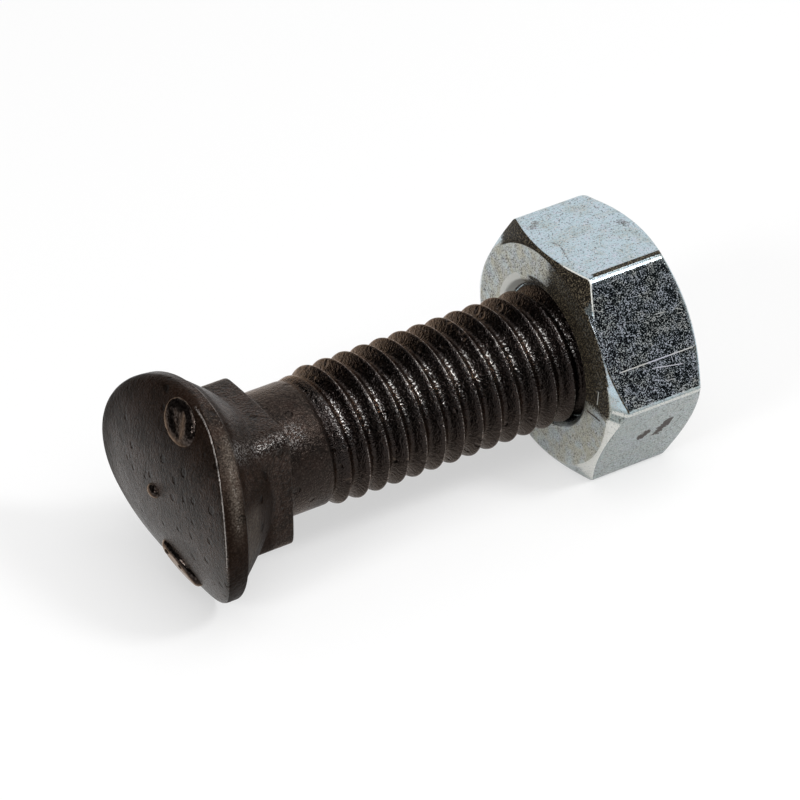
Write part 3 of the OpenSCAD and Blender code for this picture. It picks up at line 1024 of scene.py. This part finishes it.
# Brown stains: thin lines, and blots with ragged edges.
blots = strokes(tree, laid, BLOTS)
ragged = plus(tree, times(tree, patch, 1.6), times(tree, specks, 1.2))
blots = times(tree, ramp(tree, blots, 0.0, 0.3), ramp(tree, plus(tree, blots, ragged), 1.80, 2.05))
stains = greatest(tree, strokes(tree, laid, STAIN_LINES), blots)
broken = ramp(tree, fine, 0.42, 0.56, 0.80, 0.10)
stained = times(tree, stains, greatest(tree, broken, times(tree, low, 0.94)))
colour = tint(tree, stained, colour, STAIN)
grime_and_shade = greatest(tree, grime_and_shade, stained)

# Painted pale highlights and a scratch on the near face, and what scatters
# light: a frost of fine dents, and scratches.
highlight_and_scratch = ramp(tree, plus(tree, point_value(tree, "highlight_and_scratch"), times(tree, specks, 0.8)), 0.80, 1.20)
highlight_and_scratch = greatest(tree, highlight_and_scratch, strokes(tree, laid, FACE_SCRATCH))
colour = tint(tree, highlight_and_scratch, colour, PALE_HIGHLIGHT_AND_SCRATCH)
scratches = greatest(
    tree,
    times(tree, hairlines(tree, laid, 0.38, 0.028, 0.28), ramp(tree, patch, 0.44, 0.56)),
    times(tree, hairlines(tree, laid, 0.70, 0.030, 0.50), ramp(tree, patch, 0.56, 0.44)),
    hairlines(tree, laid, 1.50, 0.028, 1.20),
    strokes(tree, laid, FRONT_SCRATCHES),
)
frost = ramp(tree, plus(tree, fine, times(tree, patch, 0.40)), 0.71, 0.85, 0.0, 0.65)
matt = times(tree, greatest(tree, frost, scratches), rest_of(tree, grime_and_shade))
haze = tint(tree, ramp(tree, cloud, 0.42, 0.58), ZINC_DUST, ZINC_HAZE)
colour = tint(tree, times(tree, matt, rest_of(tree, highlight_and_scratch)), colour, haze)
tree.links.new(colour, shader.inputs["Base Color"])
dull = greatest(tree, times(tree, matt, 0.9), times(tree, highlight_and_scratch, 0.3), grime_and_shade)
tree.links.new(rest_of(tree, dull), shader.inputs["Metallic"])
tree.links.new(ramp(tree, grime_and_shade, 0.0, 1.0, 0.5, 0.08), shader.inputs["Specular IOR Level"])
satin = plus(tree, ramp(tree, fine, 0.3, 0.7, 0.10, 0.16), times(tree, at_end, 0.20))
satin = plus(tree, satin, times(tree, greatest(tree, highlight_and_scratch, grime_and_shade), 0.25))
tree.links.new(satin, shader.inputs["Roughness"])
bump = relief(tree, times(tree, fine, ramp(tree, patch, 0.35, 0.62, 0.4, 1.0)), 0.010)
bump = relief(tree, times(tree, point_value(tree, "grime_and_shade"), specks), 0.06, 0.8, bump)
bump = relief(tree, scratches, 0.002, 1.0, bump)
tree.links.new(bump, shader.inputs["Normal"])
nut.data.materials.append(zinc)

# The nut's thread: a trapezoid carried along a helix, half a pitch from the
# bolt's crests. It grows out of the bore at both ends, and its foot is sunk
# into the metal.
RIDGE_FOOT = 5.30
RIDGE_BASE = 5.12
RIDGE_SECTION = np.array([[-0.66, RIDGE_FOOT], [-0.645, 4.97], [-0.24, 4.27], [-0.18, 4.22],
                          [0.18, 4.22], [0.24, 4.27], [0.645, 4.97], [0.66, RIDGE_FOOT]])
RIDGE_STEPS = 96
RIDGE_INSET = 0.72
ridge_from = (NUT_NEAR + RIDGE_INSET - FIRST_CREST) / PITCH - 0.5
ridge_to = (NUT_FAR - RIDGE_INSET - FIRST_CREST) / PITCH - 0.5
ridge_turn = np.linspace(ridge_from, ridge_to, int((ridge_to - ridge_from) * RIDGE_STEPS))[:, None]
ridge_x = FIRST_CREST + PITCH * (ridge_turn + 0.5) + RIDGE_SECTION[:, 0]
ridge_grown = window(ridge_turn, ridge_from - 0.02, ridge_from + 0.2, ridge_to - 0.2, ridge_to + 0.02)
is_foot = RIDGE_SECTION[:, 1] == RIDGE_FOOT
ridge_shape = np.where(is_foot, RIDGE_FOOT, RIDGE_BASE - (RIDGE_BASE - RIDGE_SECTION[:, 1]) * ridge_grown)
mouth_wall = np.maximum(NUT_MOUTH - (ridge_x - NUT_NEAR), NUT_MOUTH - (NUT_FAR - ridge_x)) + 0.02
ridge_r = np.maximum(ridge_shape, mouth_wall + np.where(is_foot, 0.12, 0))
ridge_points = turned_points(ridge_x, ridge_r, ridge_turn * 2 * np.pi)
ridge_ends = [ridge_points[:1].mean(1), ridge_points[-1:].mean(1)]
ridge_points = np.concatenate([ridge_points.reshape(-1, 3), *ridge_ends])
ridge_grid = closed_round(np.arange(ridge_x.size).reshape(ridge_x.shape))
ridge_fans = [fan_faces(ridge_x.size, ridge_grid[0, ::-1]), fan_faces(ridge_x.size + 1, ridge_grid[-1])]
ridge = new_piece("nut_thread", ridge_points, grid_faces(ridge_grid), np.concatenate(ridge_fans),
                  "nut")
ridge.data.materials.append(zinc)
